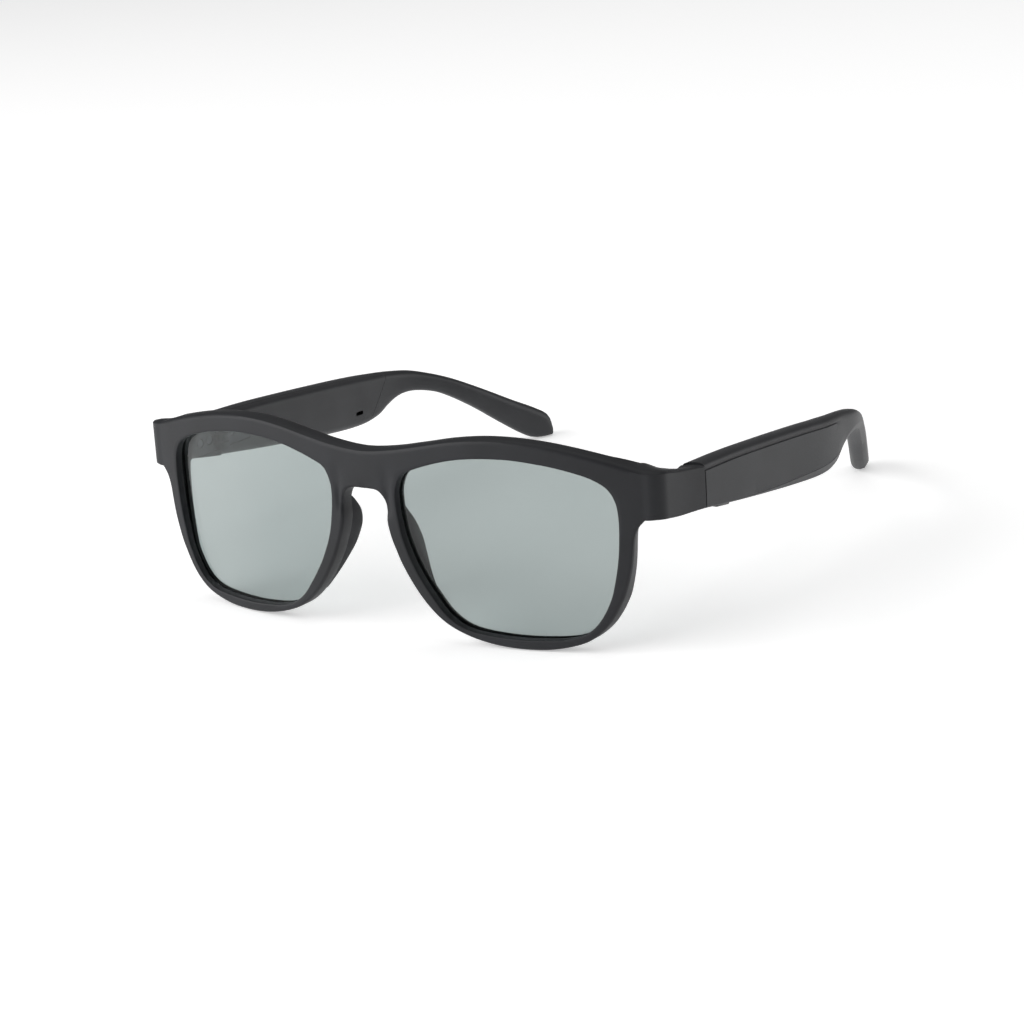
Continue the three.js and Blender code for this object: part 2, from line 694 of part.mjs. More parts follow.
function microphone() {
  const x = onBoardX - MICROPHONE.thickness / 2;
  return laid(MICROPHONE.thickness, MICROPHONE.length, MICROPHONE.height, x, micY, micZ);
}

function speaker() {
  const x = innerX + TEMPLE.coverWall + 2 * GAP + GRILLE.thickness + SPEAKER.thickness / 2;
  return laid(
    SPEAKER.thickness, SPEAKER.length, SPEAKER.height, x, speakerY, midZ(speakerY));
}

function speakerGrille() {
  const x = innerX + TEMPLE.coverWall + GAP + GRILLE.thickness / 2;
  return laid(GRILLE.thickness, GRILLE.length, GRILLE.height, x, slotY, slotZ);
}

function actionButton() {
  const { length, width, stands, flange } = BUTTON;
  return join(
    atButton(length / 2, width / 2, -stands, 1.6),
    atButton(length / 2 + flange, width / 2, 1.0, 1.6));
}

function tactSwitch() {
  const low = 1.6 + BUTTON.travel + 0.05;
  return atButton(SWITCH.length / 2, SWITCH.width / 2, low, low + SWITCH.height - 0.3);
}

const chargingContact = (y) => rodX(y, midZ(y), CONTACT.radius, innerX, splitX + 0.1);

const chargingMagnet = (y) =>
  rodX(y, midZ(y), MAGNET.radius, splitX - MAGNET.thickness, splitX);

// ---------------------------------------------------------------- assembly

const glasses = new THREE.Group();

function addTo(group, name, piece, material, side = 'left') {
  const geometry = piece.isBufferGeometry ? piece : geometryOf(piece);
  const mesh = new THREE.Mesh(side === 'right' ? mirrored(geometry) : geometry, material);
  mesh.name = name;
  group.add(mesh);
}

function addSide(side, equipment) {
  const front = new THREE.Group();
  const temple = new THREE.Group();
  glasses.add(front, temple);
  const toFront = (name, piece, material) =>
    addTo(front, `${side}_${name}`, piece, material, side);
  const toTemple = (name, piece, material) =>
    addTo(temple, `${side}_${name}`, piece, material, side);

  toFront('lens', lens(), FINISH.lens);
  toFront('nose_pad', nosePad(), FINISH.pad);
  toFront('front_hinge_leaf', frontLeaf(), FINISH.steel);
  toFront('hinge_pin', hingePin(), FINISH.steel);
  screwPlaces(frontLeafY).forEach((y, i) =>
    toFront(`front_leaf_screw_${i + 1}`, leafScrew(y), FINISH.steel));

  toTemple('temple_housing', templeHousing(equipment.button), FINISH.temple);
  toTemple('temple_inner_cover', innerCover(equipment.charging), FINISH.temple);
  toTemple('temple_hinge_leaf', templeLeaf(), FINISH.steel);
  screwPlaces(templeLeafY).forEach((y, i) =>
    toTemple(`temple_leaf_screw_${i + 1}`, leafScrew(y), FINISH.steel));
  toTemple('hook_core_wire', wire(HOOK.wireRadius, 0.91), FINISH.steel);
  toTemple('battery', battery(), FINISH.battery);
  toTemple('circuit_board', circuitBoard(), FINISH.board);
  toTemple('radio_module', radioModule(), FINISH.chip);
  toTemple('microphone', microphone(), FINISH.gold);
  toTemple('speaker', speaker(), FINISH.speaker);
  toTemple('speaker_grille', speakerGrille(), FINISH.steel);

  if (equipment.button) {
    toTemple('action_button', actionButton(), FINISH.pad);
    toTemple('button_switch', tactSwitch(), FINISH.chip);
  }
  if (equipment.charging) {
    contactY.forEach((y, i) =>
      toTemple(`charging_contact_${i + 1}`, chargingContact(y), FINISH.gold));
    magnetY.forEach((y, i) =>
      toTemple(`charging_magnet_${i + 1}`, chargingMagnet(y), FINISH.magnet));
  }
}

addTo(glasses, 'front_frame', frontFrame(), FINISH.frame);
addSide('left', { button: true, charging: true });
addSide('right', { button: false, charging: false });

// The glasses lie on the lower edge of the rims and on the temple tips.
const rimLowZ = lensBottomZ - FRONT.rimBottom;
const rimLowY = wrapY(FRONT.bridge / 2 + 0.56 * LENS.width) + FRONT.depth;
const tipLowY = bendY + 0.95 * HOOK.reach;
glasses.rotation.x = -Math.atan2(HOOK.tipZ - rimLowZ, tipLowY - rimLowY);
glasses.updateMatrixWorld(true);
const extent = new THREE.Box3().setFromObject(glasses, true);
const centre = extent.getCenter(new THREE.Vector3());
glasses.position.set(-centre.x, -centre.y, -extent.min.z);

export default glasses;
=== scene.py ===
import json
import math

import bmesh
import bpy
from mathutils import Matrix, Vector


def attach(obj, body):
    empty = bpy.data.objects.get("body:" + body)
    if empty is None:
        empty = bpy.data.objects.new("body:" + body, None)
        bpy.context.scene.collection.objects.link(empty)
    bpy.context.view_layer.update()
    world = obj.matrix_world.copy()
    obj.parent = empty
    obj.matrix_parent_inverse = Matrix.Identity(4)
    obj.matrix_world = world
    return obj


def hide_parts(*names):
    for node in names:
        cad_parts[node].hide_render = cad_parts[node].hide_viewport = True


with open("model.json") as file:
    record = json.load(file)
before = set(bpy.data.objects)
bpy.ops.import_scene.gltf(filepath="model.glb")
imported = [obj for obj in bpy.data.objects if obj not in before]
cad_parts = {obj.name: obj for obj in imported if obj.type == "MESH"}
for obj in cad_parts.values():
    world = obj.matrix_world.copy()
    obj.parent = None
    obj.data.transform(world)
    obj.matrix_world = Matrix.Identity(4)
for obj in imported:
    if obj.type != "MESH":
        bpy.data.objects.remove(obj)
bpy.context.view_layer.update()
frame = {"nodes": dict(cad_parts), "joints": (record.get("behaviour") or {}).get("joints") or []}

MM = 0.001

# ------------------------------------------------------------- the wearing frame
# Pieces are drawn in millimetres in the wearing frame: zero at the front of the bridge at the
# height of the lens datum, +X to the wearer's left, +Y back, +Z up. The glasses stand slightly
# tilted on the table, and the hinge of the left temple says by how much.

HINGE_X, HINGE_Y, HINGE_Z = 63.6, 30.95, 7.05
left_fold = next(j for j in frame["joints"] if j["name"] == "left_temple_fold")
rest_tilt = math.atan2(-left_fold["axis"][1], left_fold["axis"][2])
tilt = Matrix.Rotation(rest_tilt, 4, "X")
origin = Vector(left_fold["pos_m"]) - tilt @ (Vector((HINGE_X, HINGE_Y, HINGE_Z)) * MM)
WEARING = Matrix.Translation(origin) @ tilt

# Sizes in millimetres, the same as the CAD's.
WRAP_RADIUS = 206
FRONT_DEPTH = 4.4
CORNER_X, CORNER_RADIUS = 66.6, 3.6
OUTER_X, INNER_X, SPLIT_X = 70.2, 64.2, 66.0
FRONT_SEAM_Y, TEMPLE_SEAM_Y = 30.8, 31.1
BARREL_ROOM, BARREL_LENGTH = 2.05, 6.5   # clear radius and height kept round the hinge
LEAF_ROOM = 0.3               # gap above and below the hinge leaves
LEAF_POCKET = 1.8             # depth of the leaf pockets
FRONT_LEAF_START_Y, TEMPLE_LEAF_END_Y = 21.4, 42.3
LEAF_LOW_Z, LEAF_HIGH_Z = 4.1, 10.0
LENS_RECESS, LENS_THICKNESS, LENS_BITE = 1.9, 1.4, 0.6
SEAM = 0.12                   # gap between housing and inner cover, finer than the CAD's


def colour(hex_value):
    """An sRGB hex value as linear red, green, blue and 1."""
    parts = [int(hex_value[i:i + 2], 16) / 255 for i in (0, 2, 4)]
    linear = [p / 12.92 if p <= 0.04045 else ((p + 0.055) / 1.055) ** 2.4 for p in parts]
    return (*linear, 1.0)


# ------------------------------------------------------------- curves

def mix(a, b, share):
    return a + (b - a) * share


def ease(low, high, value):
    """0 below low, 1 above high, and a smooth rise between."""
    share = min(1.0, max(0.0, (value - low) / (high - low)))
    return share * share * (3 - 2 * share)


def spline(points, steps=12, closed=False):
    """A dense smooth line through the points."""
    dots = [Vector(p) for p in points]
    if closed:
        dots = [dots[-1], *dots, dots[0], dots[1]]
    else:
        dots = [2 * dots[0] - dots[1], *dots, 2 * dots[-1] - dots[-2]]
    line = []
    for a, b, c, d in zip(dots, dots[1:], dots[2:], dots[3:]):
        ta = math.sqrt((b - a).length) or 1e-6
        tb = math.sqrt((c - b).length) or 1e-6
        tc = math.sqrt((d - c).length) or 1e-6
        out = (b - a) / ta - (c - a) / (ta + tb) + (c - b) / tb
        into = (c - b) / tb - (d - b) / (tb + tc) + (d - c) / tc
        for i in range(steps):
            t = i / steps
            line.append((2 * t ** 3 - 3 * t * t + 1) * b + (t ** 3 - 2 * t * t + t) * out * tb
                        + (3 * t * t - 2 * t ** 3) * c + (t ** 3 - t * t) * into * tb)
    if not closed:
        line.append(dots[-2])
    return line


def height_on(line, at):
    """Second coordinate of a line at a given first coordinate."""
    for a, b in zip(line, line[1:]):
        if a[0] <= at <= b[0]:
            return mix(a[1], b[1], (at - a[0]) / ((b[0] - a[0]) or 1e-6))
    return line[0][1] if at < line[0][0] else line[-1][1]


def nearest(line, point):
    """Index of the line's point that is closest to the given one."""
    return min(range(len(line)), key=lambda i: (line[i] - Vector(point)).length)


def stretch(line, start, end, count):
    """Points evenly along a dense line from index start to index end, both included."""
    part = line[start:end + 1] if start <= end else line[start:] + line[:end + 1]
    far = [0.0]
    for a, b in zip(part, part[1:]):
        far.append(far[-1] + (b - a).length)
    picked, k = [], 0
    for i in range(count + 1):
        want = far[-1] * i / count
        while k < len(part) - 2 and far[k + 1] < want:
            k += 1
        span = (far[k + 1] - far[k]) or 1e-6
        picked.append(part[k].lerp(part[k + 1], min(1.0, max(0.0, (want - far[k]) / span))))
    return picked


# ------------------------------------------------------------- modelling by hand

def deselect():
    if bpy.context.mode != "OBJECT":
        bpy.ops.object.mode_set(mode="OBJECT")
    bpy.ops.object.select_all(action="DESELECT")


def activate(piece):
    deselect()
    piece.select_set(True)
    bpy.context.view_layer.objects.active = piece


def edit(piece):
    activate(piece)
    bpy.ops.object.mode_set(mode="EDIT")


def tidy(piece):
    """Merge doubles and turn every face outwards."""
    edit(piece)
    bpy.ops.mesh.select_all(action="SELECT")
    bpy.ops.mesh.remove_doubles(threshold=0.004)
    bpy.ops.mesh.normals_make_consistent(inside=False)
    bpy.ops.object.mode_set(mode="OBJECT")


def loft(name, rings, closed=False, clean=True):
    """A ring drawn as a circle and extruded through all the other rings."""
    deselect()
    fill = "NOTHING" if closed else "NGON"
    bpy.ops.mesh.primitive_circle_add(vertices=len(rings[0]), fill_type=fill)
    piece = bpy.context.object
    piece.name = name
    bpy.ops.object.mode_set(mode="EDIT")
    mesh = bmesh.from_edit_mesh(piece.data)
    row = mesh.verts.layers.int.new("row")
    station = mesh.verts.layers.int.new("station")
    mesh.verts.ensure_lookup_table()
    for i, vert in enumerate(mesh.verts):
        vert[row], vert[station] = i, 0
        vert.co = rings[0][i]
    for number, ring in enumerate(rings[1:], 1):
        bmesh.update_edit_mesh(piece.data)
        bpy.ops.mesh.extrude_region_move()
        mesh = bmesh.from_edit_mesh(piece.data)
        row = mesh.verts.layers.int["row"]
        station = mesh.verts.layers.int["station"]
        for vert in mesh.verts:
            if vert.select:
                vert.co = ring[vert[row]]
                vert[station] = number
    bmesh.update_edit_mesh(piece.data)
    bpy.ops.object.mode_set(mode="OBJECT")
    if clean:
        tidy(piece)
    return piece


def apply(piece, kind, **settings):
    """Add a modifier with its settings and apply it."""
    activate(piece)
    modifier = piece.modifiers.new(kind.lower(), kind)
    for key, value in settings.items():
        setattr(modifier, key, value)
    bpy.ops.object.modifier_apply(modifier=modifier.name)


def carve(piece, *tools, operation="DIFFERENCE", solver="EXACT"):
    """Cut the tools from the piece one by one, and throw each away."""
    for tool in tools:
        apply(piece, "BOOLEAN", object=tool, operation=operation, solver=solver)
        bpy.data.objects.remove(tool, do_unlink=True)
    return piece


def copy_of(piece, name):
    other = piece.copy()
    other.data = piece.data.copy()
    other.name = name
    bpy.context.scene.collection.objects.link(other)
    return other


def mirror_copy(piece, name):
    """The same piece for the wearer's other side."""
    other = copy_of(piece, name)
    other.data.transform(Matrix.Scale(-1, 4, (1, 0, 0)))
    other.data.flip_normals()
    return other


def box(x0, x1, y0, y1, z0, z1, bevel=0.0, segments=3):
    deselect()
    bpy.ops.mesh.primitive_cube_add(size=1, location=((x0 + x1) / 2, (y0 + y1) / 2, (z0 + z1) / 2))
    block = bpy.context.object
    block.scale = (x1 - x0, y1 - y0, z1 - z0)
    bpy.ops.object.transform_apply()
    if bevel:
        apply(block, "BEVEL", width=bevel, segments=segments, limit_method="NONE")
    return block


def rod(place, radius, length, axis="Z", bevel=0.0, sides=48):
    deselect()
    turn = {"Z": (0, 0, 0), "X": (0, math.pi / 2, 0), "Y": (math.pi / 2, 0, 0)}[axis]
    bpy.ops.mesh.primitive_cylinder_add(
        vertices=sides, radius=radius, depth=length, location=place, rotation=turn)
    bar = bpy.context.object
    bpy.ops.object.transform_apply()
    if bevel:
        apply(bar, "BEVEL", width=bevel, segments=3, limit_method="ANGLE",
              angle_limit=math.radians(50))
    return bar


def prism_x(outline, x0, x1):
    """A prism along X from an outline in (y, z)."""
    return loft("prism", [[(x, y, z) for y, z in outline] for x in (x0, x1)])


def finish(piece, name, body, material, slot, *nodes, angle=35):
    """Scale to metres, stand the piece where the glasses stand, shade it and hand it over."""
    piece.name = name
    piece.data.name = name
    for layer in ("row", "station"):
        attribute = piece.data.attributes.get(layer)
        if attribute:
            piece.data.attributes.remove(attribute)
    piece.data.transform(WEARING @ Matrix.Scale(MM, 4))
    piece.data.materials.clear()
    piece.data.materials.append(material)
    activate(piece)
    bpy.ops.object.shade_smooth_by_angle(angle=math.radians(angle))
    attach(piece, body)
    if nodes:
        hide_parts(*nodes)
    return piece


# ------------------------------------------------------------- materials

def add_node(tree, kind, links=(), **settings):
    """Add a node; settings name its properties or inputs, links are (socket, source) pairs."""
    node = tree.nodes.new(kind)
    for key, value in settings.items():
        if key in node.inputs:
            node.inputs[key].default_value = value
        else:
            setattr(node, key, value)
    for socket, source in links:
        tree.links.new(source, node.inputs[socket])
    return node


def new_material(name, **inputs):
    """A material, its node tree and its shader, with the shader's even values set."""
    material = bpy.data.materials.new(name)
    material.use_nodes = True
    shader = material.node_tree.nodes["Principled BSDF"]
    for key, value in inputs.items():
        shader.inputs[key.replace("_", " ")].default_value = value
    return material, material.node_tree, shader


SHADE_DRIFT_MM = 11.1          # width of the patches over which a moulding's shade drifts


def mould_texture(tree, shader, dark, light, grain_mm, depth_mm, rough):
    """The grain of a spark-eroded mould, drawn several times coarser than it is so that it shows,
    and a slow drift of shade over the moulding."""
    place = add_node(tree, "ShaderNodeTexCoord").outputs["Object"]
    drift = add_node(tree, "ShaderNodeTexNoise", [("Vector", place)],
                     Scale=1 / (SHADE_DRIFT_MM * MM), Detail=2.0)
    shade = add_node(tree, "ShaderNodeValToRGB", [("Fac", drift.outputs["Fac"])])
    for stop, at, hex_value in zip(shade.color_ramp.elements, (0.3, 0.7), (dark, light)):
        stop.position, stop.color = at, colour(hex_value)
    tree.links.new(shade.outputs["Color"], shader.inputs["Base Color"])
    grain = add_node(tree, "ShaderNodeTexNoise", [("Vector", place)],
                     Scale=1 / (grain_mm * MM), Detail=2.0, Roughness=0.6)
    gloss = add_node(tree, "ShaderNodeMapRange", [("Value", grain.outputs["Fac"])],
                     **{"From Min": 0.3, "From Max": 0.7, "To Min": rough - 0.05,
                        "To Max": rough + 0.05})
    tree.links.new(gloss.outputs["Result"], shader.inputs["Roughness"])
    bump = add_node(tree, "ShaderNodeBump", [("Height", grain.outputs["Fac"])],
                    Strength=0.5, Distance=depth_mm * MM)
    tree.links.new(bump.outputs["Normal"], shader.inputs["Normal"])


def metal(name, dark, light, smooth, rough, grain_mm, wrinkle_mm=0.0):
    """A bare metal whose shade and roughness wander from place to place; wrinkles are optional."""
    material, tree, shader = new_material(name, Metallic=1.0)
    place = add_node(tree, "ShaderNodeTexCoord").outputs["Object"]
    grain = add_node(tree, "ShaderNodeTexNoise", [("Vector", place)],
                     Scale=1 / (grain_mm * MM), Detail=3.0)
    shade = add_node(tree, "ShaderNodeValToRGB", [("Fac", grain.outputs["Fac"])])
    for stop, at, hex_value in zip(shade.color_ramp.elements, (0.35, 0.65), (dark, light)):
        stop.position, stop.color = at, colour(hex_value)
    tree.links.new(shade.outputs["Color"], shader.inputs["Base Color"])
    gloss = add_node(tree, "ShaderNodeMapRange", [("Value", grain.outputs["Fac"])],
                     **{"From Min": 0.3, "From Max": 0.7, "To Min": smooth, "To Max": rough})
    tree.links.new(gloss.outputs["Result"], shader.inputs["Roughness"])
    if wrinkle_mm:
        bump = add_node(tree, "ShaderNodeBump", [("Height", grain.outputs["Fac"])],
                        Strength=0.6, Distance=wrinkle_mm * MM)
        tree.links.new(bump.outputs["Normal"], shader.inputs["Normal"])
    return material


# Injection-moulded nylon with a fine eroded texture: soft wide highlights, no mirror.
frame_nylon, tree, shader = new_material("moulded_charcoal_nylon_front", IOR=1.5,
                                         Specular_IOR_Level=0.32)
mould_texture(tree, shader, "17181B", "1E1F23", 0.22, 0.012, 0.5)

# The same nylon on the temples, a little glossier than the front; its colour is painted a little
# lighter than the front's, painted light for the stronger light that falls on the temples' sides.
temple_nylon, tree, shader = new_material("moulded_charcoal_nylon_temple_painted_lit", IOR=1.5,
                                          Specular_IOR_Level=0.4)
mould_texture(tree, shader, "222326", "2B2C2F", 0.22, 0.012, 0.47)

# Button of the same resin, polished a little by fingers.
button_nylon, tree, shader = new_material("moulded_charcoal_nylon_button", IOR=1.5)
mould_texture(tree, shader, "1E1F21", "242527", 0.22, 0.008, 0.4)

# Soft elastomer: a dry, velvety surface with a faint sheen and no sharp highlight.
pad_rubber, tree, shader = new_material("satin_charcoal_elastomer", IOR=1.45,
                                        Specular_IOR_Level=0.3)
mould_texture(tree, shader, "1B1C1F", "222326", 0.3, 0.01, 0.66)

# Grey-green tinted polycarbonate, polished and coated against reflections: clear, with a cool
# cast that drifts a little over the lens and only a faint mirror image.
lens_tint, tree, shader = new_material(
    "tinted_polycarbonate_lens", Roughness=0.0, IOR=1.45, Transmission_Weight=1.0,
    Specular_IOR_Level=0.2)
place = add_node(tree, "ShaderNodeTexCoord").outputs["Object"]
tint_drift_mm = 40
drift = add_node(tree, "ShaderNodeTexNoise", [("Vector", place)],
                 Scale=1 / (tint_drift_mm * MM), Detail=1.0)
shade = add_node(tree, "ShaderNodeValToRGB", [("Fac", drift.outputs["Fac"])])
for stop, at, hex_value in zip(shade.color_ramp.elements, (0.3, 0.7), ("9CA6A5", "A4ADAC")):
    stop.position, stop.color = at, colour(hex_value)
tree.links.new(shade.outputs["Color"], shader.inputs["Base Color"])

# Blackened stainless steel: dark grey metal, satin, with the brightness of bare metal in it.
hinge_steel = metal("blackened_stainless_steel_hinge", "424346", "48494C", 0.32, 0.42, 0.667)

# The same steel turned on a lathe: a touch brighter on the pins and screw heads.
turned_steel = metal("turned_blackened_steel_screw", "55565A", "5C5D61", 0.26, 0.33, 1.11)

# Drawn spring wire: pale grey, with a slightly uneven shine.
core_steel = metal("drawn_spring_steel_wire", "8E8F90", "A2A3A3", 0.25, 0.4, 0.556)

# Hard gold plate: warm yellow and smooth, with slight wear.
contact_gold = metal("hard_gold_plated_contact", "CFA44B", "D7AD56", 0.2, 0.27, 1.43)

# Nickel plate over a pressed magnet: bright with a faint warm cast.
magnet_nickel = metal("nickel_plated_magnet", "B7B2A8", "C6C1B6", 0.2, 0.34, 0.833)

# Laminated foil pouch: dull silver with shallow wrinkles.
battery_foil = metal("aluminium_laminate_pouch", "A4A6A8", "B4B6B8", 0.36, 0.5, 2.86, 0.06)

# Etched sheet for the grille: dark steel, finely mottled, with a shallow relief.
grille_steel = metal("etched_steel_grille", "2E2F31", "56575A", 0.35, 0.5, 0.167, 0.05)

# Solder mask over glass cloth: deep green and glossy, faintly uneven from the cloth below.
board_mask, tree, shader = new_material("green_solder_mask_laminate", IOR=1.5, Coat_Weight=0.4)
mould_texture(tree, shader, "0C3320", "12452B", 0.35, 0.006, 0.34)

# Moulding compound of the chips: black, flat, slightly speckled by its filler.
chip_resin, tree, shader = new_material("black_epoxy_chip_compound", IOR=1.55)
mould_texture(tree, shader, "161616", "232323", 0.12, 0.008, 0.58)

# Speaker basket: matt black glass-filled resin.
speaker_resin, tree, shader = new_material("glass_filled_speaker_resin", IOR=1.5)
mould_texture(tree, shader, "1A1A1B", "262627", 0.18, 0.012, 0.6)

CARRIED_OVER = (
    ("hinge_leaf", hinge_steel), ("hinge_pin", turned_steel), ("screw", turned_steel),
    ("hook_core_wire", core_steel), ("charging_contact", contact_gold),
    ("microphone", contact_gold), ("charging_magnet", magnet_nickel),
    ("battery", battery_foil), ("circuit_board", board_mask), ("radio_module", chip_resin),
    ("button_switch", chip_resin), ("speaker_grille", grille_steel), ("speaker", speaker_resin))
for node_name, carried in frame["nodes"].items():
    for part, material in CARRIED_OVER:
        if part in node_name:
            carried.material_slots[0].material = material
            break


# ------------------------------------------------------------- the front

# The left lens opening and the outline round it, seen from the front: x and z.
OPENING = spline([
    (9.0, 8.7), (10.6, 12), (13.9, 13.6), (18.5, 15.1), (23.6, 16.3), (28.5, 16.9), (33.2, 17.1),
    (37.8, 17), (42.4, 16.5), (46.8, 15.8), (51.1, 14.8), (55.4, 13.4), (58.7, 11.3), (60.3, 8.4),
    (60.8, 4.7), (60.7, 0.2), (60.3, -4.3), (59.5, -8.8), (58.3, -13.4), (56, -18), (53.4, -20.9),
    (50, -22.6), (42, -23.5), (32.7, -23.4), (24.3, -22.1), (20, -19.5), (16.8, -15.6),
    (13.1, -9.9), (10.3, -3.4), (9.2, 1.8), (8.8, 6.0)], closed=True)
BROW = spline([
    (-7.8, 17.9), (0, 17.2), (7.8, 17.9), (15.6, 19.3), (23.2, 20.7), (30.5, 21.4), (37.5, 21.3),
    (44.3, 20.6), (50.9, 19.4), (57.3, 17.9), (63.0, 16.4), (66.6, 15.5)])
LOWER = spline([
    (66.6, 4.3), (65.3, 2.9), (64.5, 1.2), (64.1, -0.5), (63.7, -3.6), (63.1, -7.1),
    (62.2, -10.2), (61.2, -13), (60, -15.3), (58.7, -17.6), (57.1, -19.8), (55.4, -21.5),
    (53.7, -22.8), (51.6, -23.9), (48.4, -24.9), (44.1, -25.7), (39.5, -25.95), (34.8, -25.8),
    (30.1, -25.2), (25.3, -24), (20.9, -22.2), (18.1, -20.4), (15.7, -18.2), (13.4, -15.5),
    (11.1, -12.1), (10, -10.2), (8.8, -7.9), (7.8, -5.4), (6.9, -3.1), (6.3, -0.8), (6, 1.2),
    (6.1, 3.5), (5.8, 5.6), (4.9, 7.1), (3.7, 7.9), (2.2, 8.1), (0, 8.1), (-2.2, 8.1)])

BRIDGE, EAR = "bridge", "ear"        # stations where the outline is cut and goes on elsewhere
BRIDGE_LOW, BRIDGE_TOP = 8.1, 17.2   # heights of the cut at the bridge
EAR_LOW_Z, EAR_TOP_Z = 4.3, 15.5     # heights of the cut at the ear
FRONT_FACE_ROWS = 8                  # rows across the front face of a section
ARC = 4                              # rows round each of its outer corners


def wrap_y(x):
    return x * x / (2 * WRAP_RADIUS)


# Outside and inside of the front seen from above. The outside turns a round corner and runs back
# to the hinge; the inside cuts that corner with a fillet.
corner_y = wrap_y(CORNER_X) + CORNER_RADIUS
corner_run = CORNER_RADIUS * math.pi / 2
seam_u = CORNER_X + corner_run + FRONT_SEAM_Y - corner_y
INSIDE = spline([
    (58.0, 58.0, wrap_y(58) + FRONT_DEPTH), (60.6, 60.1, 14.0), (63.2, 61.3, 15.4),
    (66.6, 62.3, 17.2), (69.6, 63.2, 19.4), (73.2, 63.9, 22.2), (77.6, 64.2, 25.2),
    (seam_u, INNER_X, FRONT_SEAM_Y)])


def outside_point(u):
    """Plan of the outside, u measured along it from the bridge."""
    if u <= CORNER_X:
        return Vector((u, wrap_y(u)))
    if u <= CORNER_X + corner_run:
        turn = (u - CORNER_X) / CORNER_RADIUS
        return Vector((CORNER_X + CORNER_RADIUS * math.sin(turn),
                       corner_y - CORNER_RADIUS * math.cos(turn)))
    y = corner_y + u - CORNER_X - corner_run
    hollow = 0.3 * math.sin(math.pi * min(1.0, (y - corner_y) / (FRONT_SEAM_Y - corner_y)))
    return Vector((OUTER_X - hollow, y))


def inside_point(u):
    """Plan of the inside, opposite outside_point(u)."""
    if u <= 58.0:
        return Vector((u, wrap_y(u) + FRONT_DEPTH))
    for a, b in zip(INSIDE, INSIDE[1:]):
        if a[0] <= u <= b[0]:
            share = (u - a[0]) / ((b[0] - a[0]) or 1e-6)
            return Vector((mix(a[1], b[1], share), mix(a[2], b[2], share)))
    return Vector((INNER_X, FRONT_SEAM_Y))


def front_point(u, z, share):
    """A point of the front: u along it from the bridge, share 0 outside to 1 inside."""
    plan = outside_point(u).lerp(inside_point(u), share)
    valley = 0.4 * math.exp(-((u - 6.7) / 0.8) ** 2) * ease(1, 4, z) * (1 - ease(11, 15, z))
    return Vector((plan.x, plan.y + valley * (1 - share), z))


def paired_stations():
    """Points round the opening, each with its partner on the outline, and a mark where the
    outline is cut at the bridge or the ear."""
    brow_start = nearest(BROW, (0, BRIDGE_TOP))
    pairs = []

    def run(line, line_keys, opening_keys, counts):
        for n, count in enumerate(counts):
            outer = stretch(line, line_keys[n], line_keys[n + 1], count)
            inner = stretch(OPENING, opening_keys[n], opening_keys[n + 1], count)
            pairs.extend(zip(inner[:-1], outer[:-1], [None] * count))

    def cut(x, low, high, opening_keys, count, mark):
        inner = stretch(OPENING, *opening_keys, count)
        for i in range(1, count):
            pairs.append((inner[i], Vector((x, mix(low, high, i / count))), mark))

    opening = [nearest(OPENING, p) for p in (
        (9.1, 9.5), (10.9, 12.3), (13.9, 13.6), (34, 17.1), (55.4, 13.4), (60.1, 9.2), (60.8, 3.2),
        (60.7, -0.4), (57.6, -15), (52.2, -21.6), (40, -23.5), (22.6, -21.3), (13.9, -11.2),
        (9.5, 0.0))]
    brow = [brow_start, *(nearest(BROW, p) for p in ((13, 18.8), (35, 21.4), (57.3, 17.9))),
            len(BROW) - 1]
    lower = [0, *(nearest(LOWER, p) for p in (
        (64.1, -0.5), (60, -15.3), (53.7, -22.8), (39.5, -25.95), (20.9, -22.2), (11.1, -12.1),
        (6.3, -0.8), (0, 8.1)))]
    pairs.append((OPENING[opening[0]], LOWER[lower[-1]], None))
    cut(0, BRIDGE_LOW + 0.9, BRIDGE_TOP - 0.9, opening[0:2], 8, BRIDGE)
    run(BROW, brow, opening[1:6], (10, 16, 18, 9))
    pairs.append((OPENING[opening[5]], BROW[-1], None))
    cut(CORNER_X, EAR_TOP_Z - 1.2, EAR_LOW_Z + 0.9, opening[5:7], 9, EAR)
    run(LOWER, lower, opening[6:] + [opening[0]], (10, 16, 12, 14, 18, 14, 14, 18))
    return pairs


